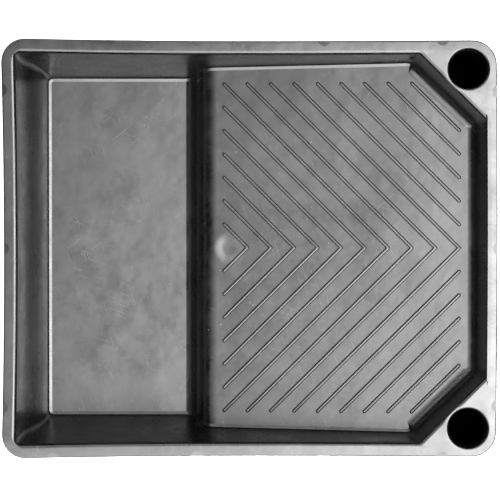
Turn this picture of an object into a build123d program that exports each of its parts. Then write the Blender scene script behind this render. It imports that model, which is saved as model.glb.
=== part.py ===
"""A paint roller tray: a deep well, a riser, a ribbed ramp, and two hollow legs at the shallow end.

Millimetres. +X runs from the well to the shallow end, +Z is up, and the origin is the middle of the
footprint, on the floor. Left is the +Y side. The tray is one thin moulding. It is divided here into its
working regions, which meet face to face: each is the part of the shell that lies inside its own zone.
The ribs stand on the ramp.
"""

from build123d import *
import math
import os

# Rim
HEIGHT = 80.0
WALL = 2.0
WELL_END_X = -176.7  # the outer edge at the well end's corners
WELL_END_BOW = 2.2  # how far that edge curves inwards at its middle
RAMP_END_X = 175.4
RAMP_END_BOW = 1.0  # this one curves outwards
HALF_WIDTH_WELL_END = 149.6
HALF_WIDTH_MIDDLE = 147.4
HALF_WIDTH_RAMP_END = 148.2
OUTLINE_CORNER = 17.5
OUTER_EDGE_RADIUS = 1.2
LIP_DROP = 7.0
LIP_WALL = 1.8

# Inside of the bowl: where its walls would meet the rim's plane if the edge weren't rounded
INSIDE_WELL_END_X = -164.3
INSIDE_RAMP_END_X = 167.5
INSIDE_HALF_WIDTH = 136.5
INSIDE_DIAGONAL = 258.8  # x + y along a 45 degree corner
DIAGONAL_DRAFT = 10.0
WELL_FLOOR_X = (-147.3, -47.1)
WELL_FLOOR_HALF_WIDTH = 122.9
RAMP_LOW = (-26.7, 30.4)
RAMP_HIGH = (157.5, 47.8)
STEP_FOOT_RADIUS = 9.0
STEP_TOP_RADIUS = 7.0
FOOT_RADIUS = 3.0
WELL_CORNER_RADIUS = 6.0
RIM_EDGE_RADIUS = 1.5

# Round marks that bite into the rim's outer edge
MARK_RADIUS = 4.9
MARK_DEPTH = 0.7
MARK_OUTSIDE = 1.4  # how far outside the edge their middles stand
MARKS_ALONG_SIDES = (-139.7, -37.4, 53.1, 137.5)
MARKS_ALONG_ENDS = (-111.0, 0.0, 111.0)

# Hollow legs
LEG_X = 155.2
LEG_Y = 127.6
LEG_MOUTH_RADIUS = 14.7
LEG_DRAFT = 3.0
LEG_MOUTH_EDGE = 0.6

# Rolling ribs on the ramp, all at 45 degrees
RIB_PITCH = 17.0
RIB_WIDTH = 3.0
RIB_HEIGHT = 1.5
RIB_EDGE_RADIUS = 0.9
RIB_START_X = -18.5
RIB_END_X = 151.5
RIB_HALF_SPAN = 119.0
CHEVRONS = 10
FIRST_SIDE_RIB = 4  # the first place along the side where a rib runs out at the ramp's end
SIDE_RIBS = 5

# Where the regions are divided
CUT_Y = 121.0
WELL_CUT_X = -142.0
STEP_CUT_X = (-57.0, -21.5)
WALL_CUT_X = -40.0
CORNER_CUT_X = 122.0
RAMP_CUT_X = 154.0
END_CUT_Y = 92.2
FAR = 400.0

RIM_UNDERSIDE = HEIGHT - WALL
CORNER_CUT = CORNER_CUT_X + CUT_Y
SIDES = {"left": 1, "right": -1}
OVER_RIM = 20.0

os.makedirs("parts", exist_ok=True)


def save(builder, name):
    """Labels a finished region and writes it."""
    builder.part.label = name
    export_step(builder.part, f"parts/{name}.step")


# The rim's outline, bowed along all four edges


def outline_sketch(z, inset=0.0):
    """The rim's outline at a height, drawn smaller by an inset all round."""
    well_end = WELL_END_X + inset
    ramp_end = RAMP_END_X - inset
    half_well_end = HALF_WIDTH_WELL_END - inset
    half_ramp_end = HALF_WIDTH_RAMP_END - inset
    half_middle = HALF_WIDTH_MIDDLE - inset
    corners = (
        (well_end, half_well_end),
        (well_end, -half_well_end),
        (ramp_end, -half_ramp_end),
        (ramp_end, half_ramp_end),
    )
    middles = (
        (well_end + WELL_END_BOW, 0),
        (0, -half_middle),
        (ramp_end + RAMP_END_BOW, 0),
        (0, half_middle),
    )
    with BuildSketch(Plane.XY.offset(z)) as outline:
        with BuildLine():
            for number, middle in enumerate(middles):
                ThreePointArc(corners[number], middle, corners[(number + 1) % 4])
        make_face()
        fillet(outline.vertices(), OUTLINE_CORNER - inset)
    return outline.sketch


def mark_places():
    """The middles of the round marks, just outside the rim's outer edge."""
    places = []
    for x in MARKS_ALONG_SIDES:
        end_x, end_y = (WELL_END_X, HALF_WIDTH_WELL_END) if x < 0 else (RAMP_END_X, HALF_WIDTH_RAMP_END)
        y = HALF_WIDTH_MIDDLE + (end_y - HALF_WIDTH_MIDDLE) * (x / end_x) ** 2 + MARK_OUTSIDE
        places += [(x, y), (x, -y)]
    for y in MARKS_ALONG_ENDS:
        well_end = WELL_END_X + WELL_END_BOW * (1 - (y / HALF_WIDTH_WELL_END) ** 2)
        ramp_end = RAMP_END_X + RAMP_END_BOW * (1 - (y / HALF_WIDTH_RAMP_END) ** 2)
        places += [(well_end - MARK_OUTSIDE, y), (ramp_end + MARK_OUTSIDE, y)]
    return places


# The bowl: one form for its inside and, grown by the wall's thickness, its outside


def length_points():
    """The inside of the bowl seen from the side, with its ends carried on above the rim."""
    end_slope = (INSIDE_RAMP_END_X - RAMP_HIGH[0]) / (HEIGHT - RAMP_HIGH[1])
    back_slope = (INSIDE_WELL_END_X - WELL_FLOOR_X[0]) / (HEIGHT - WALL)
    return (
        (WELL_FLOOR_X[0], WALL),
        (WELL_FLOOR_X[1], WALL),
        RAMP_LOW,
        RAMP_HIGH,
        (INSIDE_RAMP_END_X + end_slope * OVER_RIM, HEIGHT + OVER_RIM),
        (INSIDE_WELL_END_X + back_slope * OVER_RIM, HEIGHT + OVER_RIM),
    )


def width_points():
    """The inside of the bowl seen from its end, carried on above the rim."""
    top = INSIDE_HALF_WIDTH + (INSIDE_HALF_WIDTH - WELL_FLOOR_HALF_WIDTH) / (HEIGHT - WALL) * OVER_RIM
    return (
        (-WELL_FLOOR_HALF_WIDTH, WALL),
        (WELL_FLOOR_HALF_WIDTH, WALL),
        (top, HEIGHT + OVER_RIM),
        (-top, HEIGHT + OVER_RIM),
    )


def corner_plane(side, grow):
    """The plane of a diagonal wall, leaning outwards as it rises. Its normal points out of the bowl."""
    lean = math.radians(DIAGONAL_DRAFT)
    level = math.cos(lean) / math.sqrt(2)
    normal = Vector(level, side * level, -math.sin(lean))
    on_wall = Vector(INSIDE_DIAGONAL / 2, side * INSIDE_DIAGONAL / 2, HEIGHT)
    return Plane(origin=on_wall + normal * grow, z_dir=normal)


def is_well_corner(edge):
    """Whether an edge rises between the well's end wall and a side wall."""
    middle = edge.position_at(0.5)
    return middle.X < WELL_FLOOR_X[0] and abs(middle.Y) > WELL_FLOOR_HALF_WIDTH and edge.length > HEIGHT / 2


def is_foot(edge):
    """Whether an edge runs along the foot of a wall, anywhere round the well's floor and the ramp."""
    box = edge.bounding_box()
    middle = box.center()
    across_step = abs(middle.Y) < 1 and STEP_CUT_X[0] < middle.X < STEP_CUT_X[1]
    return box.max.Z < RAMP_HIGH[1] + 2 * WALL and not across_step


def bowl_form(grow, top):
    """The bowl's inside as a solid up to a height, or its outside when grown by the wall's thickness."""
    with BuildPart() as form:
        with BuildSketch(Plane.XZ) as length_profile:
            with BuildLine():
                Polyline(*length_points(), close=True)
            make_face()
            step = length_profile.vertices().filter_by_position(Axis.X, *STEP_CUT_X).sort_by(Axis.X)
            fillet(step[0], STEP_FOOT_RADIUS)
            fillet(step[1], STEP_TOP_RADIUS)
            if grow:
                offset(amount=grow, kind=Kind.INTERSECTION, mode=Mode.REPLACE)
        extrude(amount=FAR, both=True)
        with BuildSketch(Plane.YZ) as width_profile:
            with BuildLine():
                Polyline(*width_points(), close=True)
            make_face()
            if grow:
                offset(amount=grow, kind=Kind.INTERSECTION, mode=Mode.REPLACE)
        extrude(amount=FAR, both=True, mode=Mode.INTERSECT)
        for side in SIDES.values():
            split(bisect_by=corner_plane(side, grow), keep=Keep.BOTTOM)
        split(bisect_by=Plane.XY.offset(top), keep=Keep.BOTTOM)
        fillet(form.edges().filter_by(is_well_corner), WELL_CORNER_RADIUS + grow)
        fillet(form.edges().filter_by(is_foot), FOOT_RADIUS + grow)
    return form.part


def leg_form(side, mouth_radius, foot, top):
    """A leg's tapered form between two heights, from its radius at the rim's plane."""
    narrowing = math.tan(math.radians(LEG_DRAFT))
    with BuildPart() as form:
        for z in (foot, top):
            with BuildSketch(Plane.XY.offset(z)):
                with Locations((LEG_X, side * LEG_Y)):
                    Circle(mouth_radius - (HEIGHT - z) * narrowing)
        loft()
    return form.part


# The shell: flange, lip, bowl and legs in one wall


with BuildPart() as shell:
    extrude(outline_sketch(HEIGHT), amount=-WALL)
    fillet(shell.faces().sort_by(Axis.Z)[-1].edges(), OUTER_EDGE_RADIUS)
    extrude(outline_sketch(RIM_UNDERSIDE), amount=WALL - LIP_DROP)
    extrude(outline_sketch(RIM_UNDERSIDE, LIP_WALL), amount=WALL - LIP_DROP, mode=Mode.SUBTRACT)
    add(bowl_form(WALL, RIM_UNDERSIDE))
    for side in SIDES.values():
        add(leg_form(side, LEG_MOUTH_RADIUS + WALL, 0, RIM_UNDERSIDE))
    add(bowl_form(0, HEIGHT + WALL), mode=Mode.SUBTRACT)
    for side in SIDES.values():
        add(leg_form(side, LEG_MOUTH_RADIUS, WALL, HEIGHT + WALL), mode=Mode.SUBTRACT)
    rim_edges = shell.edges().filter_by_position(Axis.Z, HEIGHT, HEIGHT)
    bowl_edges = rim_edges.filter_by(lambda edge: edge.geom_type in (GeomType.LINE, GeomType.ELLIPSE))
    fillet(bowl_edges, RIM_EDGE_RADIUS)
    mouths = shell.edges().filter_by(lambda edge: abs(edge.length - math.tau * LEG_MOUTH_RADIUS) < 0.1)
    fillet(mouths, LEG_MOUTH_EDGE)
    with BuildSketch(Plane.XY.offset(HEIGHT)):
        with Locations(*mark_places()):
            Circle(MARK_RADIUS)
    extrude(amount=-MARK_DEPTH, mode=Mode.SUBTRACT)


# The zones that divide it, as plan outlines


def mirrored(points, side):
    """Plan points on the left, or their mirror image on the right."""
    return [(x, side * y) for x, y in points]


def corner_line(reach):
    """A point on the line that divides the well's end wall from a side wall, on the left."""
    run = INSIDE_WELL_END_X - WELL_CUT_X
    rise = INSIDE_HALF_WIDTH - CUT_Y
    return (WELL_CUT_X + reach * run, CUT_Y + reach * rise)


OUT = 3.0  # past the rim, in lengths of that line
WELL_CORNER = corner_line(OUT)
END_CUT_X = RAMP_CUT_X + END_CUT_Y - (CORNER_CUT - RAMP_CUT_X)
END_ZONE = [(RAMP_CUT_X, CORNER_CUT - RAMP_CUT_X), (END_CUT_X, END_CUT_Y), (FAR, END_CUT_Y)]
CORNER_ZONE = END_ZONE + [(FAR, FAR), (CORNER_CUT_X, FAR), (CORNER_CUT_X, CUT_Y)]
SIDE_ZONE = [(WELL_CUT_X, CUT_Y), (CORNER_CUT_X, CUT_Y), (CORNER_CUT_X, WELL_CORNER[1]), WELL_CORNER]
WELL_SIDE_ZONE = [(WELL_CUT_X, CUT_Y), (WALL_CUT_X, CUT_Y), (WALL_CUT_X, WELL_CORNER[1]), WELL_CORNER]
RAMP_SIDE_ZONE = [(WALL_CUT_X, CUT_Y), (CORNER_CUT_X, CUT_Y), (CORNER_CUT_X, FAR), (WALL_CUT_X, FAR)]


def across(points):
    """A plan outline that spans the tray, from its points on the left."""
    return points + mirrored(points, -1)[::-1]


WELL_END_ZONE = across([WELL_CORNER, (WELL_CUT_X, CUT_Y)])
WELL_FLOOR_ZONE = across([(WELL_CUT_X, CUT_Y), (STEP_CUT_X[0], CUT_Y)])
STEP_ZONE = across([(STEP_CUT_X[0], CUT_Y), (STEP_CUT_X[1], CUT_Y)])
RAMP_ZONE = across([(STEP_CUT_X[1], CUT_Y), (CORNER_CUT_X, CUT_Y), END_ZONE[0]])
RAMP_END_ZONE = across(END_ZONE)


def column(points):
    """A zone as a solid, taller than the tray."""
    with BuildPart(mode=Mode.PRIVATE) as zone:
        with BuildSketch(Plane.XY.offset(-WALL)):
            Polygon(*points, align=None)
        extrude(amount=HEIGHT + 2 * WALL)
    return zone.part


def region(body, points):
    """The part of a body that lies in a zone."""
    with BuildPart() as piece:
        add(body)
        add(column(points), mode=Mode.INTERSECT)
    return piece


# The rim is what lies over the bowl's walls or outside them

with BuildPart() as under_rim:
    extrude(outline_sketch(-WALL, LIP_WALL + WALL / 2), amount=HEIGHT)

with BuildPart() as rim:
    add(shell.part)
    add(under_rim.part, mode=Mode.SUBTRACT)

with BuildPart() as bowl:
    add(shell.part)
    add(under_rim.part, mode=Mode.INTERSECT)
    for side in SIDES.values():
        add(leg_form(side, LEG_MOUTH_RADIUS + WALL, -WALL, HEIGHT), mode=Mode.SUBTRACT)

save(region(rim.part, WELL_END_ZONE), "rim_well_end")
save(region(rim.part, RAMP_END_ZONE), "rim_ramp_end")
save(region(bowl.part, WELL_FLOOR_ZONE), "well_floor")
save(region(bowl.part, WELL_END_ZONE), "well_end_wall")
save(region(bowl.part, STEP_ZONE), "step_riser")
save(region(bowl.part, RAMP_ZONE), "ramp_plate")
save(region(bowl.part, RAMP_END_ZONE), "ramp_end_wall")
for name, side in SIDES.items():
    save(region(rim.part, mirrored(SIDE_ZONE, side)), f"rim_side_{name}")
    save(region(rim.part, mirrored(CORNER_ZONE, side)), f"corner_web_{name}")
    save(region(bowl.part, mirrored(WELL_SIDE_ZONE, side)), f"well_side_wall_{name}")
    save(region(bowl.part, mirrored(RAMP_SIDE_ZONE, side)), f"ramp_side_wall_{name}")
    save(region(bowl.part, mirrored(CORNER_ZONE, side)), f"corner_wall_{name}")

# Each leg is a whole tube below the rim, closed by its foot

for name, side in SIDES.items():
    with BuildPart() as leg:
        add(shell.part)
        add(leg_form(side, LEG_MOUTH_RADIUS + WALL, 0, RIM_UNDERSIDE), mode=Mode.INTERSECT)
    save(leg, f"hollow_leg_{name}")

# Ribs, drawn on the ramp's surface

RAMP_RISE = RAMP_HIGH[1] - RAMP_LOW[1]
RAMP_RUN = RAMP_HIGH[0] - RAMP_LOW[0]
RAMP_LENGTH = math.hypot(RAMP_RUN, RAMP_RISE)
ON_RAMP = Plane(
    origin=(RAMP_LOW[0], 0, RAMP_LOW[1]),
    x_dir=(RAMP_RUN, 0, RAMP_RISE),
    z_dir=(-RAMP_RISE, 0, RAMP_RUN),
)


def up_ramp(x):
    """How far up the ramp's surface a place lies, from its x."""
    return (x - RAMP_LOW[0]) * RAMP_LENGTH / RAMP_RUN


def rib_bars(*runs):
    """A rib of straight round-ended runs, each from a start to an end in plan. Its top edge is rounded."""
    with BuildPart() as rib:
        with BuildSketch(ON_RAMP):
            for start, end in runs:
                along = Vector(*end) - Vector(*start)
                turn = math.degrees(math.atan2(along.Y, along.X))
                with Locations((Vector(*start) + Vector(*end)) * 0.5):
                    SlotCenterToCenter(along.length, RIB_WIDTH, rotation=turn)
        extrude(amount=RIB_HEIGHT)
        fillet(rib.faces().sort_by(Axis(ON_RAMP.origin, ON_RAMP.z_dir))[-1].edges(), RIB_EDGE_RADIUS)
    return rib


for number in range(1, CHEVRONS + 1):
    apex = RIB_START_X + RIB_PITCH * number
    arm = min(RIB_PITCH * number, RIB_HALF_SPAN)
    tip = (up_ramp(apex), 0)
    arms = [((up_ramp(apex - arm), side * arm), tip) for side in SIDES.values()]
    save(rib_bars(*arms), f"chevron_rib_{number:02d}")

for name, side in SIDES.items():
    for number in range(SIDE_RIBS):
        start_x = RIB_START_X + RIB_PITCH * (FIRST_SIDE_RIB + number)
        end_y = RIB_HALF_SPAN - (RIB_END_X - start_x)
        run = ((up_ramp(start_x), side * RIB_HALF_SPAN), (up_ramp(RIB_END_X), side * end_y))
        save(rib_bars(run), f"side_rib_{name}_{number + 1}")
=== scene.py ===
"""A black moulded paint roller tray: one continuous plastic skin with its ribs, seen from above."""

import math

import bmesh
import bpy
from mathutils import Matrix, Vector
from mathutils.geometry import tessellate_polygon


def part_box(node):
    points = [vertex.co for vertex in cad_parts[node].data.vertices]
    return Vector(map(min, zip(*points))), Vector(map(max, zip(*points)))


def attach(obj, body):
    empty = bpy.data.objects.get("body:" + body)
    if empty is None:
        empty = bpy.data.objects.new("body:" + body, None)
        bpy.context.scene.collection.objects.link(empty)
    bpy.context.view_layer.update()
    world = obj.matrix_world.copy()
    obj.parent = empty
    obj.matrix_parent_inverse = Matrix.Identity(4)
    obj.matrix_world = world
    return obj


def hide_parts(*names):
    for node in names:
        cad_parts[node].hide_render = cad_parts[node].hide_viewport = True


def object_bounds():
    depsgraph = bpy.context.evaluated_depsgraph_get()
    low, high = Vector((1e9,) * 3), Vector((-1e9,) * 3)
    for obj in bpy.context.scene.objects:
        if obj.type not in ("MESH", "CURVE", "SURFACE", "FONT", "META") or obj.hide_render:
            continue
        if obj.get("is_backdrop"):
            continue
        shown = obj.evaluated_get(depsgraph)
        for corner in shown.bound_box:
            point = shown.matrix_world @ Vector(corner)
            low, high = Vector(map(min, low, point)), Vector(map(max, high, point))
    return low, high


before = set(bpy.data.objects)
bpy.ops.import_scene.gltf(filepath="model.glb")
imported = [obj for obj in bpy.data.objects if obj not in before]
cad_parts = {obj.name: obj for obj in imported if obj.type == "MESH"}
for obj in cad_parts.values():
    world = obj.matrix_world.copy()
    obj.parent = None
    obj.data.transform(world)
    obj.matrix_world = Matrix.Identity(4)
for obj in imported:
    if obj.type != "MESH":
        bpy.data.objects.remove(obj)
CAD_LOW, CAD_HIGH = (Vector(corner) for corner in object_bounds())
MM = 0.001

# Sizes, in millimetres
HEIGHT = CAD_HIGH.z / MM
HALF_LENGTH = (CAD_HIGH.x - CAD_LOW.x) / 2 / MM
HALF_WIDTH = 147.4  # at the middle of the long sides
WALL = 2.0
LIP_DROP = 7.0
LIP_WALL = 1.8
OUTLINE_CORNER = 17.5
OUTER_EDGE_RADIUS = 1.3
DROOP_START = 7.2  # inset from the edge
FLANGE_DROOP = ((4.7, 0.07), (1.3, 0.20))  # by inset from the edge, how far it has dropped since the last
RIM_EDGE_RADIUS = 3.2
RIDGE_EDGE_RADIUS = 1.2  # the rim's inner edge where it passes a leg's mouth
LEAST_EDGE_RADIUS = 0.6
# A wall's foot: how round it is against the wall and against the floor, and the flat strip between the two
SIDE_FOOT = (0.8, 0.7, 1.9)
RAMP_END_FOOT = (6.5, 6.5, 0.0)
DIAGONAL_FOOT = (9.0, 9.0, 0.0)
FOOT_STRIP_SLOPE = math.radians(20)

# The riser: it starts with a crease, and one long curve takes it up and over onto the ramp
STEP_CREASE = math.radians(15)
STEP_ANGLE = math.radians(76)
STEP_FOOT_RADIUS = 10.0
STEP_TOP_RADIUS = 16.0
STEP_BEND_STEPS = 14

# How far the long walls wave in and out of flat, from cooling
END_WALL_WAVE = 2.1
SIDE_WALL_BULGE = 0.5

# How far the edges of the rim bow out of straight
WELL_END_BOW = 2.2
WELL_END_OUT = 0.35
RAMP_END_BOW = 1.0
SIDE_FLARE_WELL = 2.2
SIDE_FLARE_RAMP = 0.8

# The inside of the bowl: how far each wall stands at the rim's plane, and how much it closes in per mm down
FLOOR_TOP = WALL
WELL_FLOOR_END = -47.2
RAMP_LOW = (-28.0, 30.3)
RAMP_HIGH = (162.0, 48.2)
END_WALL = (166.7, 18.1 / 78, 0.0)  # the third number is how far it stands outside flat halfway down
SIDE_WALL = (137.6, 13.1 / 78, 2.0)
RAMP_END_WALL = (169.0, 6.6 / 32, 0.0)
DIAGONAL_WALL = (259.3 / math.sqrt(2), math.tan(math.radians(10)), 0.0)
WELL_CORNER_RADII = (3.6, 3.8)  # at the rim, at the foot
DIAGONAL_CORNER_RADII = (3.0, 9.0)

# Legs
LEG_LOW, LEG_HIGH = (Vector(corner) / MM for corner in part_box("hollow_leg_left"))
LEG_X = (LEG_LOW.x + LEG_HIGH.x) / 2
LEG_Y = (LEG_LOW.y + LEG_HIGH.y) / 2
LEG_TAPER = math.tan(math.radians(3))
LEG_OUTER = (LEG_HIGH.x - LEG_LOW.x) / 2 + WALL * LEG_TAPER  # at the rim's plane
LEG_INNER = LEG_OUTER - WALL - 0.8
MOUTH_EDGE_RADIUS = 2.0


# ---------------------------------------------------------------- plane curves


def bend(corner, way_in, way_out, radius, steps):
    """Points of a round bend in a path that turns at a corner, from the first tangent point to the last."""
    turn = way_in.angle(way_out)
    reach = radius * math.tan(turn / 2)
    side = (way_out - way_in * way_out.dot(way_in)).normalized()
    centre = corner - way_in * reach + side * radius
    angles = [turn * step / steps for step in range(steps + 1)]
    return [centre + (way_in * math.sin(angle) - side * math.cos(angle)) * radius for angle in angles]


def spread(first, last, steps):
    """Evenly spaced numbers from the first to the last, both included."""
    return [first + (last - first) * step / steps for step in range(steps + 1)]


# ---------------------------------------------------------------- the floor seen from the side


class FloorLine:
    """The well's floor, the riser and the ramp in profile, lowered by a growth square to each."""

    def __init__(self, grow):
        self.well_z = FLOOR_TOP - grow
        low, high = Vector(RAMP_LOW), Vector(RAMP_HIGH)
        up_ramp = (high - low).normalized()
        self.slope = up_ramp.y / up_ramp.x
        self.ramp_point = low + Vector((up_ramp.y, -up_ramp.x)) * grow
        crease = Vector((WELL_FLOOR_END, FLOOR_TOP))
        start = Vector((math.cos(STEP_CREASE), math.sin(STEP_CREASE)))
        up_riser = Vector((math.cos(STEP_ANGLE), math.sin(STEP_ANGLE)))
        foot = crease + start * STEP_FOOT_RADIUS * math.tan((STEP_ANGLE - STEP_CREASE) / 2)
        riser_slope = up_riser.y / up_riser.x
        run = (low.y - foot.y - self.slope * (low.x - foot.x)) / (riser_slope - self.slope)
        top = foot + Vector((run, run * riser_slope))
        curve = bend(foot, start, up_riser, STEP_FOOT_RADIUS, STEP_BEND_STEPS)
        curve += bend(top, up_riser, up_ramp, STEP_TOP_RADIUS, STEP_BEND_STEPS)
        ramp_angle = math.atan(self.slope)
        angles = spread(STEP_CREASE, STEP_ANGLE, STEP_BEND_STEPS)
        angles += spread(STEP_ANGLE, ramp_angle, STEP_BEND_STEPS)
        self.bends = [p + Vector((math.sin(a), -math.cos(a))) * grow for p, a in zip(curve, angles)]
        self.bends[0] = Vector((crease.x + grow * math.tan(STEP_CREASE / 2), self.well_z))

    def height(self, x):
        """The floor's height at a place along the tray."""
        if x <= self.bends[0].x:
            return self.well_z
        if x >= self.bends[-1].x:
            return self.ramp_point.y + self.slope * (x - self.ramp_point.x)
        for near, far in zip(self.bends, self.bends[1:]):
            if x <= far.x:
                part = (x - near.x) / (far.x - near.x)
                return near.y + (far.y - near.y) * part
        return self.bends[-1].y

    def rise(self, x):
        """The floor's slope there, which matters only where a wall stands across it."""
        return self.slope if x > self.bends[-1].x else 0.0


# ---------------------------------------------------------------- the walls as columns round the bowl


class Wall:
    """A drafted wall: the way it faces in plan, how far out it stands, how it closes in and bulges."""

    def __init__(self, direction, size, grow):
        self.out = Vector(direction).normalized()
        distance, closing, bulge = size
        self.closing = closing
        self.bulge = bulge
        self.distance = distance + grow * math.sqrt(1 + closing**2)

    def reach(self, z):
        down = (HEIGHT - z) / (HEIGHT - FLOOR_TOP)
        return self.distance - (HEIGHT - z) * self.closing + self.bulge * 4 * down * (1 - down)


def corner_at(first, second, z):
    """Where two walls meet at a height, in plan."""
    a, b = first.out, second.out
    det = a.x * b.y - a.y * b.x
    ra, rb = first.reach(z), second.reach(z)
    return Vector(((ra * b.y - rb * a.y) / det, (a.x * rb - b.x * ra) / det))


def foot_corner(first, second, floor):
    """Where two walls meet the floor."""
    corner = corner_at(first, second, FLOOR_TOP)
    for _ in range(12):
        corner = corner_at(first, second, floor.height(corner.x))
    return corner


def round_corner(corner, first, second, radius, steps):
    """Plan points and outward directions round a corner."""
    centre = corner - (first.out + second.out) * radius / (1 + first.out.dot(second.out))
    start = math.atan2(first.out.y, first.out.x)
    turn = first.out.angle(second.out)
    angles = [start + turn * step / steps for step in range(steps + 1)]
    ways = [Vector((math.cos(angle), math.sin(angle))) for angle in angles]
    return [(centre + way * radius, way) for way in ways]


CORNER_STEPS = 8
WELL_FAN = 60.0  # how far along a side wall its columns fan out from the well's corner
RAMP_FAN = 30.0


def bowl_columns(floor, grow, top):
    """Every column of the bowl's wall: its rim point, its foot point and its outward way in plan."""
    walls = [
        Wall((-1, 0), END_WALL, grow),
        Wall((0, -1), SIDE_WALL, grow),
        Wall((1, -1), DIAGONAL_WALL, grow),
        Wall((1, 0), RAMP_END_WALL, grow),
        Wall((1, 1), DIAGONAL_WALL, grow),
        Wall((0, 1), SIDE_WALL, grow),
    ]
    corners = []
    for number, wall in enumerate(walls):
        after = walls[(number + 1) % len(walls)]
        at_well = wall.out.x + after.out.x < 0
        rim_radius, foot_radius = WELL_CORNER_RADII if at_well else DIAGONAL_CORNER_RADII
        rim = round_corner(corner_at(wall, after, top), wall, after, rim_radius + grow, CORNER_STEPS)
        foot = round_corner(foot_corner(wall, after, floor), wall, after, foot_radius + grow, CORNER_STEPS)
        corners.append([(r, f, way) for (r, way), (f, _) in zip(rim, foot)])
    columns = []
    for number, wall in enumerate(walls):
        start = corners[number - 1][-1]
        end = corners[number][0]
        columns += wall_columns(wall, start, end, floor)
        columns += corners[number]
    return columns


def wall_columns(wall, start, end, floor):
    """The columns of one wall between its rounded corners, both left out."""
    if wall.out.x:
        shares = spread(0, 1, 20 if wall.out.y else 16)[1:-1]
        return [(start[0].lerp(end[0], s), start[1].lerp(end[1], s), wall.out) for s in shares]
    columns = []
    ahead = 1 if end[1].x > start[1].x else -1
    low, high = sorted((start[1].x, end[1].x))
    near, far = (start, end) if ahead > 0 else (end, start)
    shift_low = near[0].x - low
    shift_high = far[0].x - high
    stations = spread(low, floor.bends[0].x, 7)[1:-1]
    stations += [point.x for point in floor.bends]
    stations += spread(floor.bends[-1].x, high, 12)[1:-1]
    for x in stations[::ahead]:
        fan_low = shift_low * max(0, 1 - (x - low) / WELL_FAN)
        fan_high = shift_high * max(0, 1 - (high - x) / RAMP_FAN)
        rim = Vector((x + fan_low + fan_high, start[0].y))
        foot_y = math.copysign(wall.reach(floor.height(x)), start[1].y)
        columns.append((rim, Vector((x, foot_y)), wall.out))
    return columns


def ridge_radius(rim):
    """The rim's edge radius, smaller where the edge passes close to a leg's mouth."""
    nearest = min((rim - Vector((LEG_X, side * LEG_Y))).length for side in (1, -1))
    gap = max(0.0, nearest - LEG_INNER - MOUTH_EDGE_RADIUS)
    return min(RIM_EDGE_RADIUS, max(RIDGE_EDGE_RADIUS, gap))


def foot_sizes(out):
    """A wall's foot by the way it faces: crisp at the sides and the well's end, round at the ramp's."""
    turn = max(0.0, out.x)
    diagonal = max(0.0, 1 - abs(turn - math.sqrt(0.5)) / (1 - math.sqrt(0.5)))
    end = max(0.0, (turn - math.sqrt(0.5)) / (1 - math.sqrt(0.5)))
    side = max(0.0, 1 - diagonal - end)
    kinds = zip(SIDE_FOOT, DIAGONAL_FOOT, RAMP_END_FOOT)
    return [a * side + b * diagonal + c * end for a, b, c in kinds]


def foot_points(foot_z, down, inward, out, grow):
    """A wall's foot in section: round off the wall, a flat strip, and round onto the floor."""
    by_wall, by_floor, strip = foot_sizes(out)
    by_wall += grow
    by_floor += grow
    way = inward * math.cos(FOOT_STRIP_SLOPE) + inward.yx * math.sin(FOOT_STRIP_SLOPE)
    first, second = down.angle(way) / 2, way.angle(inward) / 2
    length = strip + by_wall * math.tan(first) + by_floor * math.tan(second)
    along_floor = length * way.cross(down) / inward.cross(down)
    along_wall = length * way.cross(inward) / down.cross(inward)
    corner = Vector((0, foot_z))
    upper = bend(corner - down * along_wall, down, way, by_wall, 6)
    return upper + bend(corner + inward * along_floor, way, inward, by_floor, 4)


def wave(out, down):
    """How far a wall stands outside flat, at a share of the way down from the rim's edge to its foot."""
    end_wave = END_WALL_WAVE * math.sin(math.tau * down) * max(0.0, -out.x) ** 2
    side_bulge = SIDE_WALL_BULGE * math.sin(math.pi * down**1.6) * max(0.0, abs(out.y) - abs(out.x))
    return end_wave + side_bulge


def column_points(rim, foot, out, floor, grow, top):
    """A column's points from the flange, round the rim's edge, down the wall and round its foot."""
    foot_z = floor.height(foot.x)
    across = (rim - foot).dot(out)
    down = Vector((-across, foot_z - top)).normalized()
    inward = Vector((-1, -floor.rise(foot.x) * out.x)).normalized()
    edge = max(ridge_radius(rim) - grow, LEAST_EDGE_RADIUS)
    upper = bend(Vector((0, top)), Vector((-1, 0)), down, edge, 7)
    lower = foot_points(foot_z, down, inward, out, grow)
    points = [(rim.x + out.x * p.x, rim.y + out.y * p.x, p.y) for p in upper]
    ends = [(foot.x + out.x * p.x, foot.y + out.y * p.x, p.y) for p in lower]
    between = []
    for share_down in spread(0, 1, 12)[1:-1]:
        point = Vector(points[-1]).lerp(Vector(ends[0]), share_down)
        between.append(tuple(point + out.to_3d() * wave(out, share_down)))
    return points + between + ends


def add_bowl(mesh, grow, top):
    """Adds one skin of the bowl, with its floor, and gives back the loop where it meets the flange."""
    floor = FloorLine(grow)
    columns = bowl_columns(floor, grow, top)
    rows = []
    for column in columns:
        points = column_points(*column, floor, grow, top)
        rows.append([mesh.verts.new(point) for point in points])
    for here, after in zip(rows, rows[1:] + rows[:1]):
        for quad in zip(here, after, after[1:], here[1:]):
            mesh.faces.new(quad)
    inner = [row[-1] for row in rows]
    right = [v for v, column in zip(inner, columns) if column[2].y == -1 and on_bends(v, floor)]
    left = [v for v, column in zip(inner, columns) if column[2].y == 1 and on_bends(v, floor)][::-1]
    for quad in zip(right, right[1:], left[1:], left):
        mesh.faces.new(quad)
    mesh.faces.new(loop_between(inner, left[0], right[0]))
    mesh.faces.new(loop_between(inner, right[-1], left[-1]))
    return [row[0] for row in rows]


def on_bends(vert, floor):
    """Whether a point of the floor's edge lies on the riser or its bends."""
    return floor.bends[0].x - 0.001 <= vert.co.x <= floor.bends[-1].x + 0.001


def loop_between(loop, first, last):
    """The stretch of a closed loop from one point to another."""
    start = loop.index(first)
    turned = loop[start:] + loop[:start]
    return turned[: turned.index(last) + 1]


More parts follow.
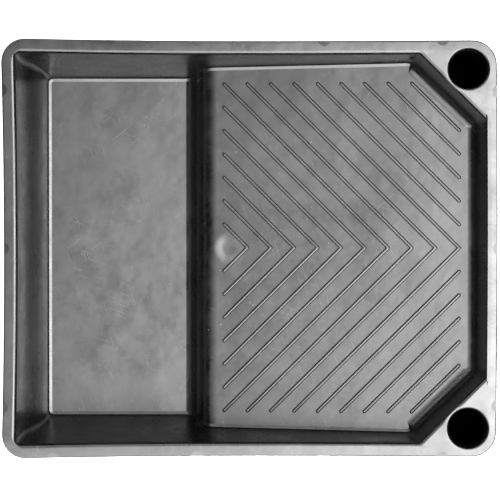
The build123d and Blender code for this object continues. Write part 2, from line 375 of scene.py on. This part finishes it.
# ---------------------------------------------------------------- flange and lip


def outline_loop(inset):
    """Plan points of the rim's outline, a rounded rectangle before it is bowed."""
    radius = OUTLINE_CORNER - inset
    points = []
    straight_x = HALF_LENGTH - OUTLINE_CORNER
    straight_y = HALF_WIDTH - OUTLINE_CORNER
    for quarter, (sx, sy) in enumerate([(1, 1), (-1, 1), (-1, -1), (1, -1)]):
        for angle in spread(quarter * 90, quarter * 90 + 90, 12):
            turn = math.radians(angle)
            x = sx * straight_x + radius * math.cos(turn)
            y = sy * straight_y + radius * math.sin(turn)
            points.append(Vector((x, y)))
    sides = []
    for number, point in enumerate(points):
        after = points[(number + 1) % len(points)]
        steps = 24 if (after - point).length > OUTLINE_CORNER else 1
        sides += [point.lerp(after, step / steps) for step in range(steps)]
    return sides


def lip_section():
    """The lip in section, as insets and heights, from the flange's drooping top to its underside."""
    edge_top = HEIGHT - sum(drop for _, drop in FLANGE_DROOP)
    rounded = bend(Vector((0, edge_top)), Vector((1, 0)), Vector((0, -1)), OUTER_EDGE_RADIUS, 6)
    foot_radius = LIP_WALL / 2
    foot_z = HEIGHT - LIP_DROP + foot_radius
    round_foot = [
        (foot_radius - foot_radius * math.cos(turn), foot_z - foot_radius * math.sin(turn))
        for turn in spread(0, math.pi, 6)
    ]
    inset, drop = FLANGE_DROOP[0]
    drooping = [(DROOP_START, HEIGHT), (inset, HEIGHT - drop)]
    return drooping + [(abs(p.x), p.y) for p in rounded] + round_foot


def add_lip(mesh):
    """Adds the turned-down lip and gives back its loops at the flange's top and underside."""
    section = lip_section() + [(LIP_WALL, HEIGHT - WALL)]
    loops = [[mesh.verts.new((p.x, p.y, z)) for p in outline_loop(inset)] for inset, z in section]
    for upper, lower in zip(loops, loops[1:]):
        for quad in zip(upper, upper[1:] + upper[:1], lower[1:] + lower[:1], lower):
            mesh.faces.new(quad)
    return loops[0], loops[-1]


def fill_between(mesh, outer, inner):
    """Fills a flat ring between two loops with triangles."""
    verts = outer + inner
    loops = [[vert.co.copy() for vert in loop] for loop in (outer, inner)]
    for corners in tessellate_polygon(loops):
        mesh.faces.new([verts[number] for number in corners])


def bow(point):
    """Bows the straight tray's walls: fully at the rim, not at all at the well's floor."""
    part_up = (point.z - FLOOR_TOP) / (HEIGHT - FLOOR_TOP)
    flare = SIDE_FLARE_WELL if point.x < 0 else SIDE_FLARE_RAMP
    off_middle = (point.y / HALF_WIDTH) ** 2
    pull = WELL_END_BOW * (1 - off_middle) - WELL_END_OUT if point.x < 0 else RAMP_END_BOW * off_middle
    point.x -= point.x / HALF_LENGTH * part_up * pull
    point.y += point.y / HALF_WIDTH * part_up * flare * (point.x / HALF_LENGTH) ** 2


def finish_mesh(mesh, name):
    """Turns a mesh in millimetres into an object in metres, with its faces pointing out."""
    bmesh.ops.recalc_face_normals(mesh, faces=mesh.faces)
    bmesh.ops.scale(mesh, vec=(MM, MM, MM), verts=mesh.verts)
    data = bpy.data.meshes.new(name)
    mesh.to_mesh(data)
    mesh.free()
    obj = bpy.data.objects.new(name, data)
    bpy.context.scene.collection.objects.link(obj)
    return obj


def make_shell():
    """The tray without its legs: bowl, flange and lip as one closed skin."""
    mesh = bmesh.new()
    rim_top, rim_under = add_lip(mesh)
    inside = add_bowl(mesh, 0, HEIGHT)
    outside = add_bowl(mesh, WALL, HEIGHT - WALL)
    for vert in mesh.verts:
        bow(vert.co)
    fill_between(mesh, rim_top, inside)
    fill_between(mesh, rim_under, outside)
    return finish_mesh(mesh, "tray_moulding")


# ---------------------------------------------------------------- legs


def turned(profile, name, middle, steps=72):
    """A closed solid turned about an upright line, from a half section that starts and ends on the line."""
    mesh = bmesh.new()
    ends = [mesh.verts.new((*middle, profile[0][1])), mesh.verts.new((*middle, profile[-1][1]))]
    angles = [math.tau * step / steps for step in range(steps)]
    rings = [
        [mesh.verts.new((middle[0] + r * math.cos(a), middle[1] + r * math.sin(a), z)) for a in angles]
        for r, z in profile[1:-1]
    ]
    for lower, upper in zip(rings, rings[1:]):
        for quad in zip(lower, lower[1:] + lower[:1], upper[1:] + upper[:1], upper):
            mesh.faces.new(quad)
    for end, ring in zip(ends, (rings[0], rings[-1])):
        for first, second in zip(ring, ring[1:] + ring[:1]):
            mesh.faces.new((first, second, end))
    return finish_mesh(mesh, name)


def leg_section(radius, low, foot_radius):
    """A leg's tapered half section, from the middle of its foot up its side as far as the rim's plane."""
    foot = Vector((radius - (HEIGHT - low) * LEG_TAPER, low))
    up = Vector((LEG_TAPER, 1)).normalized()
    rounded = bend(foot, Vector((1, 0)), up, foot_radius, 6)
    return [(0.0, low)] + [(p.x, p.y) for p in rounded], up


def leg_outside():
    section, _ = leg_section(LEG_OUTER, 0.0, 2.5)
    top = HEIGHT - WALL / 2
    return section + [(LEG_OUTER - (HEIGHT - top) * LEG_TAPER, top), (0.0, top)]


def leg_hollow():
    """The hollow's section, which flares out at the mouth into its rounded edge."""
    section, up = leg_section(LEG_INNER, WALL, 3.0)
    flare = bend(Vector((LEG_INNER, HEIGHT)), up, Vector((1, 0)), MOUTH_EDGE_RADIUS, 6)
    over = HEIGHT + WALL
    section += [(p.x, p.y) for p in flare[:-1]]
    return section + [(flare[-1].x, HEIGHT), (flare[-1].x + 0.02, over), (0.0, over)]


def settle(obj):
    """Makes an object's modifiers part of its mesh."""
    graph = bpy.context.evaluated_depsgraph_get()
    data = bpy.data.meshes.new_from_object(obj.evaluated_get(graph), depsgraph=graph)
    obj.modifiers.clear()
    obj.data = data


def combine(obj, tool, operation):
    """Joins a solid to an object, or cuts it away, and throws the solid away."""
    change = obj.modifiers.new(operation, "BOOLEAN")
    change.object = tool
    change.operation = operation
    change.solver = "EXACT"
    settle(obj)
    bpy.data.objects.remove(tool)


def add_legs(shell):
    for side in (1, -1):
        combine(shell, turned(leg_outside(), "leg", (LEG_X, side * LEG_Y)), "UNION")
    for side in (1, -1):
        combine(shell, turned(leg_hollow(), "hollow", (LEG_X, side * LEG_Y)), "DIFFERENCE")


# ---------------------------------------------------------------- node trees


class Wire:
    """An output socket that can be used in arithmetic."""

    def __init__(self, tree, socket):
        self.tree = tree
        self.socket = socket

    def math(self, operation, *others):
        return self.tree.node("ShaderNodeMath", {"operation": operation}, dict(enumerate((self, *others))))

    def __add__(self, other):
        return self.math("ADD", other)

    __radd__ = __add__

    def __sub__(self, other):
        return self.math("SUBTRACT", other)

    def __rsub__(self, other):
        return self.tree.node("ShaderNodeMath", {"operation": "SUBTRACT"}, {0: other, 1: self})

    def __mul__(self, other):
        return self.math("MULTIPLY", other)

    __rmul__ = __mul__

    def __truediv__(self, other):
        return self.math("DIVIDE", other)

    def __pow__(self, other):
        return self.math("POWER", other)

    def at_least(self, other):
        return self.math("MAXIMUM", other)

    def at_most(self, other):
        return self.math("MINIMUM", other)


class Tree:
    """Adds nodes to a tree, each by its type, its settings and its inputs."""

    def __init__(self, nodes):
        self.nodes = nodes

    def node(self, kind, settings=None, inputs=None, output=0):
        node = self.nodes.nodes.new(kind)
        for name, value in (settings or {}).items():
            setattr(node, name, value)
        for name, value in (inputs or {}).items():
            if isinstance(value, Wire):
                self.nodes.links.new(value.socket, node.inputs[name])
            else:
                node.inputs[name].default_value = value
        self.last = node
        return Wire(self, node.outputs[output]) if node.outputs else node

    def other(self, name):
        """Another output of the node that was added last."""
        return Wire(self, self.last.outputs[name])


def shaping_tree(name, sizes):
    """A Geometry Nodes tree with a geometry input and named number inputs."""
    group = bpy.data.node_groups.new(name, "GeometryNodeTree")
    face = group.interface
    face.new_socket("Geometry", in_out="INPUT", socket_type="NodeSocketGeometry")
    for label in sizes:
        face.new_socket(label, in_out="INPUT", socket_type="NodeSocketFloat")
    face.new_socket("Geometry", in_out="OUTPUT", socket_type="NodeSocketGeometry")
    tree = Tree(group)
    tree.node("NodeGroupInput")
    given = {socket.name: Wire(tree, socket) for socket in tree.last.outputs if socket.name}
    return tree, given


def shape(obj, tree, sizes):
    """Runs a tree on an object and keeps the result as its mesh."""
    change = obj.modifiers.new(tree.nodes.name, "NODES")
    change.node_group = tree.nodes
    for item in tree.nodes.interface.items_tree:
        if item.in_out == "INPUT" and item.name in sizes:
            change[item.identifier] = float(sizes[item.name])
    settle(obj)


def finish_tree(tree, geometry, material):
    """Ends a tree as one real mesh in its material."""
    real = tree.node("GeometryNodeRealizeInstances", inputs={0: geometry})
    coloured = tree.node("GeometryNodeSetMaterial", inputs={"Geometry": real, "Material": material})
    tree.node("NodeGroupOutput", inputs={0: coloured})


# ---------------------------------------------------------------- marks in the rim's outer edge

MARKS_ALONG_SIDES = (-139.7, -37.4, 53.1, 137.5)
MARKS_ALONG_ENDS = (-111.0, 0.0, 111.0)
MARK = {"Mark Radius": 4.9, "Mark Depth": 1.6, "Cutter Height": 4.0, "Floor Slope": 0.22}
MARK_OUTSIDE = 1.4  # how far outside the edge a mark's middle stands


def guide_object(name, places, **directions):
    """A mesh of loose points, each with the directions or numbers that a tree reads from it."""
    data = bpy.data.meshes.new(name)
    data.from_pydata(places, [], [])
    for label, values in directions.items():
        several = hasattr(values[0], "__len__")
        attribute = data.attributes.new(label, "FLOAT_VECTOR" if several else "FLOAT", "POINT")
        for item, value in zip(attribute.data, values):
            if several:
                item.vector = value
            else:
                item.value = value
    obj = bpy.data.objects.new(name, data)
    bpy.context.scene.collection.objects.link(obj)
    return obj


def mark_guide():
    """The marks' middles on the bowed outline, each with its outward direction."""
    stands = []
    for x in MARKS_ALONG_SIDES:
        stands += [(Vector((x, side * HALF_WIDTH)), Vector((0, side))) for side in (1, -1)]
    for y in MARKS_ALONG_ENDS:
        stands += [(Vector((side * HALF_LENGTH, y)), Vector((side, 0))) for side in (1, -1)]
    places = []
    for stand, outward in stands:
        place = Vector((*stand, HEIGHT))
        bow(place)
        place += outward.to_3d() * MARK_OUTSIDE
        places.append(place * MM)
    return guide_object("mark_guide", places, outward=[outward.to_3d() for _, outward in stands])


def marks_tree(material):
    """Turns each guide point into a short drum that slopes outwards, to be cut from the rim."""
    tree, given = shaping_tree("rim_marks", MARK)
    drum = tree.node(
        "GeometryNodeMeshCylinder",
        {"fill_type": "NGON"},
        {"Vertices": 40, "Radius": given["Mark Radius"] * MM, "Depth": given["Cutter Height"] * MM},
    )
    lift = (given["Cutter Height"] / 2 - given["Mark Depth"]) * MM
    set_down = tree.node("ShaderNodeCombineXYZ", inputs={"Z": lift})
    slope = tree.node("ShaderNodeCombineXYZ", inputs={"Y": given["Floor Slope"]})
    tilted = tree.node(
        "GeometryNodeTransform",
        inputs={"Geometry": drum, "Translation": set_down, "Rotation": slope},
    )
    outward = tree.node(
        "GeometryNodeInputNamedAttribute", {"data_type": "FLOAT_VECTOR"}, {"Name": "outward"}
    )
    facing = tree.node(
        "FunctionNodeAxesToRotation",
        {"primary_axis": "X", "secondary_axis": "Z"},
        {"Primary Axis": outward, "Secondary Axis": (0, 0, 1)},
    )
    drums = tree.node(
        "GeometryNodeInstanceOnPoints",
        inputs={"Points": given["Geometry"], "Instance": tilted, "Rotation": facing},
    )
    finish_tree(tree, drums, material)
    return tree


def cut_marks(shell, material):
    cutters = mark_guide()
    shape(cutters, marks_tree(material), MARK)
    combine(shell, cutters, "DIFFERENCE")


# ---------------------------------------------------------------- rolling ribs

RIB = {"Rib Width": 2.6, "Rib Height": 1.15, "Rib Roundness": 0.85, "Rib Root": 0.35}
RIB_PITCH = 17.0
RIB_START_X = -18.5
RIB_END_X = 151.5
RIB_HALF_SPAN = 119.0
CHEVRONS = 10
SIDE_RIBS = 5
RIB_SIDES = 20
RIB_ROWS = 7
RIB_TOP = math.radians(83)  # how far up its round section a rib's flat top starts
RIB_FOOT_FLARE = 0.22


def chevron_runs():
    """Plan runs of the chevrons' arms, from each apex outwards."""
    runs = []
    for number in range(1, CHEVRONS + 1):
        apex = RIB_START_X + RIB_PITCH * number
        arm = min(RIB_PITCH * number, RIB_HALF_SPAN)
        runs += [(Vector((apex, 0)), Vector((apex - arm, side * arm))) for side in (1, -1)]
    return runs


def side_runs():
    """Plan runs of the ribs between a side wall and the ramp's end."""
    runs = []
    for number in range(1, SIDE_RIBS + 1):
        inner = Vector((RIB_END_X, RIB_PITCH * number))
        arm = RIB_HALF_SPAN - inner.y
        outer = Vector((inner.x - arm, RIB_HALF_SPAN))
        for side in (1, -1):
            runs.append((Vector((inner.x, side * inner.y)), Vector((outer.x, side * outer.y))))
    return runs


def rib_guide(name, runs):
    """The middle of every run on the ramp, with its direction and half its length."""
    ramp = FloorLine(0)
    ends = [[Vector((*point, ramp.height(point.x))) for point in run] for run in runs]
    middles = [(start + end) / 2 * MM for start, end in ends]
    ways = [(end - start).normalized() for start, end in ends]
    halves = [(end - start).length / 2 * MM for start, end in ends]
    return guide_object(name, middles, along=ways, half_run=halves)


def ribs_tree(name, material):
    """Sets a round button on each guide point, pulls its halves to the run's ends, and joins what meets."""
    tree, given = shaping_tree(name, RIB)
    button = tree.node(
        "GeometryNodeMeshCylinder",
        {"fill_type": "NGON"},
        {"Vertices": RIB_SIDES, "Side Segments": RIB_ROWS, "Radius": 1.0, "Depth": 1.0},
    )
    position = tree.node("GeometryNodeInputPosition")
    tree.node("ShaderNodeSeparateXYZ", inputs={"Vector": position})
    x, y, z = (tree.other(axis) for axis in "XYZ")
    turn = (z + 0.5) * RIB_TOP
    section_radius = turn.math("COSINE") ** given["Rib Roundness"]
    section_height = turn.math("SINE") ** given["Rib Roundness"]
    flare = (1 - section_height).at_least(0.0) ** 4 * RIB_FOOT_FLARE
    radius = (section_radius + flare) * given["Rib Width"] / 2 * MM
    height = (section_height * given["Rib Height"] - given["Rib Root"] * (1 - section_height)) * MM
    placed = tree.node("ShaderNodeCombineXYZ", inputs={"X": x * radius, "Y": y * radius, "Z": height})
    rounded = tree.node("GeometryNodeSetPosition", inputs={"Geometry": button, "Position": placed})
    half_side = (0, 0, math.radians(180 / RIB_SIDES))
    half_step = tree.node("GeometryNodeTransform", inputs={"Geometry": rounded, "Rotation": half_side})
    position = tree.node("GeometryNodeInputPosition")
    tree.node("ShaderNodeSeparateXYZ", inputs={"Vector": position})
    marked = tree.node(
        "GeometryNodeStoreNamedAttribute",
        {"data_type": "FLOAT", "domain": "POINT"},
        {"Geometry": half_step, "Name": "end", "Value": tree.other("X").math("SIGN")},
    )
    along = tree.node("GeometryNodeInputNamedAttribute", {"data_type": "FLOAT_VECTOR"}, {"Name": "along"})
    facing = tree.node(
        "FunctionNodeAxesToRotation",
        {"primary_axis": "X", "secondary_axis": "Z"},
        {"Primary Axis": along, "Secondary Axis": (-FloorLine(0).slope, 0, 1)},
    )
    buttons = tree.node(
        "GeometryNodeInstanceOnPoints",
        inputs={"Points": given["Geometry"], "Instance": marked, "Rotation": facing},
    )
    real = tree.node("GeometryNodeRealizeInstances", inputs={0: buttons})
    end = tree.node("GeometryNodeInputNamedAttribute", {"data_type": "FLOAT"}, {"Name": "end"})
    half_run = tree.node("GeometryNodeInputNamedAttribute", {"data_type": "FLOAT"}, {"Name": "half_run"})
    pull = tree.node("ShaderNodeVectorMath", {"operation": "SCALE"}, {0: along, "Scale": end * half_run})
    stretched = tree.node("GeometryNodeSetPosition", inputs={"Geometry": real, "Offset": pull})
    joined = tree.node(
        "GeometryNodeMeshBoolean",
        {"operation": "UNION", "solver": "EXACT"},
        {"Mesh 2": stretched, "Self Intersection": True},
    )
    finish_tree(tree, joined, material)
    return tree


def make_ribs(name, runs, material):
    ribs = rib_guide(name, runs)
    shape(ribs, ribs_tree(name, material), RIB)
    for label in ("end", "along", "half_run"):
        attribute = ribs.data.attributes.get(label)
        if attribute:
            ribs.data.attributes.remove(attribute)
    return ribs


SHARP_ANGLE = math.radians(35)


def soften(obj):
    """Shades an object smooth across its roundings while its flat faces stay flat."""
    obj.data.shade_smooth()
    obj.data.set_sharp_from_angle(angle=SHARP_ANGLE)
    weighting = obj.modifiers.new("weighting", "WEIGHTED_NORMAL")
    weighting.keep_sharp = True
    weighting.weight = 80
    settle(obj)


# ---------------------------------------------------------------- black plastic


def grey(value):
    return (value, value, value, 1.0)


def share(tree, value, low, high):
    """How far a value has come from a low mark to a high one, smoothly, from 0 to 1."""
    limits = {"Value": value, "From Min": low, "From Max": high, "To Min": 0.0, "To Max": 1.0}
    return tree.node("ShaderNodeMapRange", {"interpolation_type": "SMOOTHSTEP", "clamp": True}, limits)


def clouds(tree, place, size, detail=3.0, rough=0.55):
    """Soft uneven patches of about one size, in metres."""
    inputs = {"Vector": place, "Scale": 1 / size, "Detail": detail, "Roughness": rough}
    return tree.node("ShaderNodeTexNoise", {"noise_dimensions": "3D"}, inputs)


def scratches(tree, place, turn, length, width, rarity):
    """Fine straight scuffs in one direction."""
    settings = {"vector_type": "POINT"}
    turned_place = tree.node("ShaderNodeMapping", settings, {"Vector": place, "Rotation": (0, 0, turn)})
    stretch = {"Vector": turned_place, "Scale": (1 / length, 1 / width, 1 / length)}
    stretched = tree.node("ShaderNodeMapping", settings, stretch)
    streak = tree.node("ShaderNodeTexNoise", inputs={"Vector": stretched, "Scale": 1.0, "Detail": 1.0})
    return share(tree, streak, rarity, rarity + 0.05)


def distance_to(tree, place, point):
    """Distance in metres from the upright line through a point."""
    away = tree.node("ShaderNodeVectorMath", {"operation": "SUBTRACT"}, {0: place, 1: point})
    level = tree.node("ShaderNodeVectorMath", {"operation": "MULTIPLY"}, {0: away, 1: (1, 1, 0)})
    tree.node("ShaderNodeVectorMath", {"operation": "LENGTH"}, {0: level})
    return tree.other("Value")


GATE = (-0.0144, -0.0004, 0.0)  # where the plastic came in, in metres


def black_plastic():
    """Satin black moulding, with painted shade inside its hollow legs: a flat near-black without gloss
    there.

    It has cloudy gloss, waves where it sank in cooling, fine scuffs and a little dust. Around the gate
    it has a dimple, a pale blush and faint rings of flow.
    """
    material = bpy.data.materials.new("black_plastic")
    material.use_nodes = True
    material.node_tree.nodes.clear()
    tree = Tree(material.node_tree)
    tree.node("ShaderNodeTexCoord")
    place = tree.other("Object")

    broad = clouds(tree, place, 0.075, 3.0)
    patchy = clouds(tree, place, 0.016, 4.0)
    mottle = clouds(tree, place, 0.0035, 3.0)
    grain = clouds(tree, place, 0.0009, 2.0)
    scuffs = scratches(tree, place, 0.35, 0.030, 0.0007, 0.70)
    scuffs = scuffs.at_least(scratches(tree, place, 1.25, 0.022, 0.0006, 0.71))
    scuffs = scuffs.at_least(scratches(tree, place, 2.45, 0.036, 0.0008, 0.715))
    scuffed_area = share(tree, clouds(tree, place, 0.05, 2.0), 0.42, 0.62)
    scuffs = scuffs * (0.25 + scuffed_area * 0.75)

    specks_at = tree.node("ShaderNodeTexVoronoi", {"feature": "F1"}, {"Vector": place, "Scale": 150.0})
    some_specks = share(tree, clouds(tree, place, 0.012, 1.0), 0.55, 0.62)
    dust = (1 - share(tree, specks_at, 0.05, 0.10)) * some_specks

    from_gate = distance_to(tree, place, GATE)
    halo = share(tree, from_gate, 0.003, 0.007) * (1 - share(tree, from_gate, 0.0075, 0.0125))
    tree.node("ShaderNodeSeparateXYZ", inputs={"Vector": place})
    blush = halo * (0.15 + share(tree, tree.other("X") * -1.0, 0.0145, 0.0215)) * (0.5 + patchy)
    gate_spot = 1 - share(tree, from_gate, 0.0010, 0.0032)
    flow_rings = (from_gate * 900.0 + broad * 9.0).math("SINE") * (1 - share(tree, from_gate, 0.012, 0.06))

    lightness = 0.0003 + broad * 0.0006 + patchy * 0.0004 + scuffs * 0.008 + dust * 0.05
    lightness = (lightness + blush * 0.06 + flow_rings * 0.0010) * (1 - gate_spot * 0.8)
    colour = tree.node("ShaderNodeCombineColor", inputs={0: lightness, 1: lightness, 2: lightness * 1.02})
    # Painted shade: below the mouth, the inside of each hollow leg is masked and mixed to a flat
    # near-black, standing in for the shade deep in the legs.
    axis_left = distance_to(tree, place, (LEG_X * MM, LEG_Y * MM, 0.0))
    axis_right = distance_to(tree, place, (LEG_X * MM, -LEG_Y * MM, 0.0))
    tree.node("ShaderNodeSeparateXYZ", inputs={"Vector": place})
    z = tree.other("Z")
    from_axis = axis_left.at_most(axis_right) + (HEIGHT * MM - z) * LEG_TAPER
    leg_middle = (LEG_INNER + LEG_OUTER) / 2 * MM
    deep = (1 - share(tree, z, 0.060, 0.078)) * share(tree, z, 0.0008, 0.0012)
    leg_shade_mask = (1 - share(tree, from_axis, leg_middle - 0.0004, leg_middle + 0.0004)) * deep
    roughness = 0.30 + (broad - 0.5) * 0.26 + (patchy - 0.5) * 0.34 + (mottle - 0.5) * 0.10
    roughness = roughness + scuffs * 0.08 + dust * 0.3

    sink = clouds(tree, place, 0.055, 1.0, 0.4) + clouds(tree, place, 0.020, 2.0, 0.5) * 0.30
    sink = sink - (1 - share(tree, from_gate, 0.0, 0.0085)) * 0.28
    waves = tree.node("ShaderNodeBump", inputs={"Strength": 0.8, "Distance": 0.0014, "Height": sink})
    skin = grain * 0.3 + patchy * 0.8 - scuffs * 0.9 + dust * 0.8
    normal = tree.node(
        "ShaderNodeBump",
        inputs={"Strength": 0.35, "Distance": 0.00008, "Height": skin, "Normal": waves},
    )
    surface = tree.node(
        "ShaderNodeBsdfPrincipled",
        inputs={"Base Color": colour, "Roughness": roughness, "IOR": 1.6, "Normal": normal},
    )
    # The painted shade inside the legs: a flat near-black diffuse with no reflection.
    painted_leg_shade = tree.node("ShaderNodeBsdfDiffuse", inputs={"Color": grey(0.0008)})
    hollow = tree.node("ShaderNodeMixShader", inputs={0: leg_shade_mask, 1: surface, 2: painted_leg_shade})
    tree.node("ShaderNodeOutputMaterial", inputs={"Surface": hollow})
    return material


# ---------------------------------------------------------------- studio


def pale_floor():
    """White card that glows a little, so that it stays white past the light's edge."""
    material = bpy.data.materials.new("pale_floor")
    material.use_nodes = True
    material.node_tree.nodes.clear()
    tree = Tree(material.node_tree)
    surface = tree.node(
        "ShaderNodeBsdfPrincipled",
        inputs={
            "Base Color": grey(0.9),
            "Roughness": 0.9,
            "Emission Color": grey(1.0),
            "Emission Strength": 0.55,
        },
    )
    tree.node("ShaderNodeOutputMaterial", inputs={"Surface": surface})
    return material


def make_floor():
    """A plain pale floor, well beyond the tray."""
    mesh = bmesh.new()
    bmesh.ops.create_grid(mesh, x_segments=1, y_segments=1, size=3.0)
    data = bpy.data.meshes.new("floor")
    mesh.to_mesh(data)
    mesh.free()
    floor = bpy.data.objects.new("floor", data)
    floor.location.z = -0.0005
    bpy.context.scene.collection.objects.link(floor)
    data.materials.append(pale_floor())
    floor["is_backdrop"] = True


CEILING = 1.3  # height of the soft ceiling of light
CEILING_SIZE = 3.2
LIGHT_LEVEL = 0.92
GLOW_AT = (0.62, -0.10, 0.0)
GLOW = 14.5
OVER_WELL = 3.0
OVER_RAMP = 5.0
TO_RIGHT = 7.0
FAR_LEFT = 5.0


def ceiling_radiance(tree, across, along):
    """The soft ceiling's brightness over the tray and around it.

    It is dim past the well's end and brighter over the ramp, with a round glow past the shallow end
    and more light to the right. To the left it stops, and starts again far out. Far past the shallow
    end it fades to nothing.
    """
    spot = tree.node("ShaderNodeCombineXYZ", inputs={"X": across, "Y": along})
    from_glow = distance_to(tree, spot, GLOW_AT)
    glow = (1 - share(tree, from_glow, 0.13, 0.75)) * GLOW
    to_right = share(tree, along * -1.0, 0.21, 0.58) * TO_RIGHT
    over_tray = share(tree, across, -1.35, -0.15) * OVER_WELL + share(tree, across, -0.06, 0.14) * OVER_RAMP
    before = 1 - share(tree, along - across.at_least(0.0) * 0.8, 0.28, 0.44)
    far_left = share(tree, along, 0.72, 0.92) * FAR_LEFT
    near_enough = 1 - share(tree, across, 0.90, 1.25)
    return ((over_tray + glow + to_right) * before + far_left) * near_enough * LIGHT_LEVEL


def make_ceiling():
    """One wide area light whose brightness varies over it."""
    light = bpy.data.lights.new("soft_ceiling", "AREA")
    light.size = CEILING_SIZE
    light.energy = math.pi * CEILING_SIZE**2
    light.use_nodes = True
    light.node_tree.nodes.clear()
    tree = Tree(light.node_tree)
    tree.node("ShaderNodeNewGeometry")
    parametric = tree.other("Parametric")
    tree.node("ShaderNodeSeparateXYZ", inputs={"Vector": parametric})
    u, v = tree.other("X"), tree.other("Y")
    across = (u - 0.5) * CEILING_SIZE
    along = (v - 0.5) * CEILING_SIZE
    radiance = ceiling_radiance(tree, across, along)
    glow = tree.node("ShaderNodeEmission", inputs={"Strength": radiance})
    tree.node("ShaderNodeOutputLight", inputs={"Surface": glow})
    obj = bpy.data.objects.new("soft_ceiling", light)
    obj.location.z = CEILING
    obj.visible_camera = False
    bpy.context.scene.collection.objects.link(obj)


def make_lights():
    make_ceiling()
    world = bpy.data.worlds.new("dim_room")
    world.use_nodes = True
    background = world.node_tree.nodes["Background"]
    background.inputs["Color"].default_value = grey(1.0)
    background.inputs["Strength"].default_value = 0.01
    bpy.context.scene.world = world


CAMERA_AT = (-0.003, 0.035, 1.78)
CAMERA_AIM = (0.0003, -0.0008, HEIGHT * MM)
CAMERA_LENS = 172.6
SENSOR_WIDTH = 36.0


def make_camera():
    place = Vector(CAMERA_AT)
    ahead = (Vector(CAMERA_AIM) - place).normalized()
    right = ahead.cross(Vector((0, 1, 0))).normalized()
    up = right.cross(ahead)
    camera = bpy.data.objects.new("camera", bpy.data.cameras.new("camera"))
    camera.data.lens = CAMERA_LENS
    camera.data.sensor_width = SENSOR_WIDTH
    camera.matrix_world = Matrix.Translation(place) @ Matrix((right, up, -ahead)).transposed().to_4x4()
    bpy.context.scene.collection.objects.link(camera)
    bpy.context.scene.camera = camera


# ---------------------------------------------------------------- putting it together


def node_names(*parts):
    return [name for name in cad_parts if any(part in name for part in parts)]


def build():
    plastic = black_plastic()
    shell = make_shell()
    add_legs(shell)
    cut_marks(shell, plastic)
    shell.data.materials.clear()
    shell.data.materials.append(plastic)
    chevrons = make_ribs("chevron_ribs", chevron_runs(), plastic)
    sides = make_ribs("side_ribs", side_runs(), plastic)
    ribs = node_names("chevron_rib_", "side_rib_")
    stands_for = {
        shell: [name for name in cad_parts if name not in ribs],
        chevrons: node_names("chevron_rib_"),
        sides: node_names("side_rib_"),
    }
    for piece, nodes in stands_for.items():
        soften(piece)
        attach(piece, "root")
        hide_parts(*nodes)


build()
make_floor()
make_lights()
make_camera()
bpy.context.scene.view_settings.view_transform = "Standard"
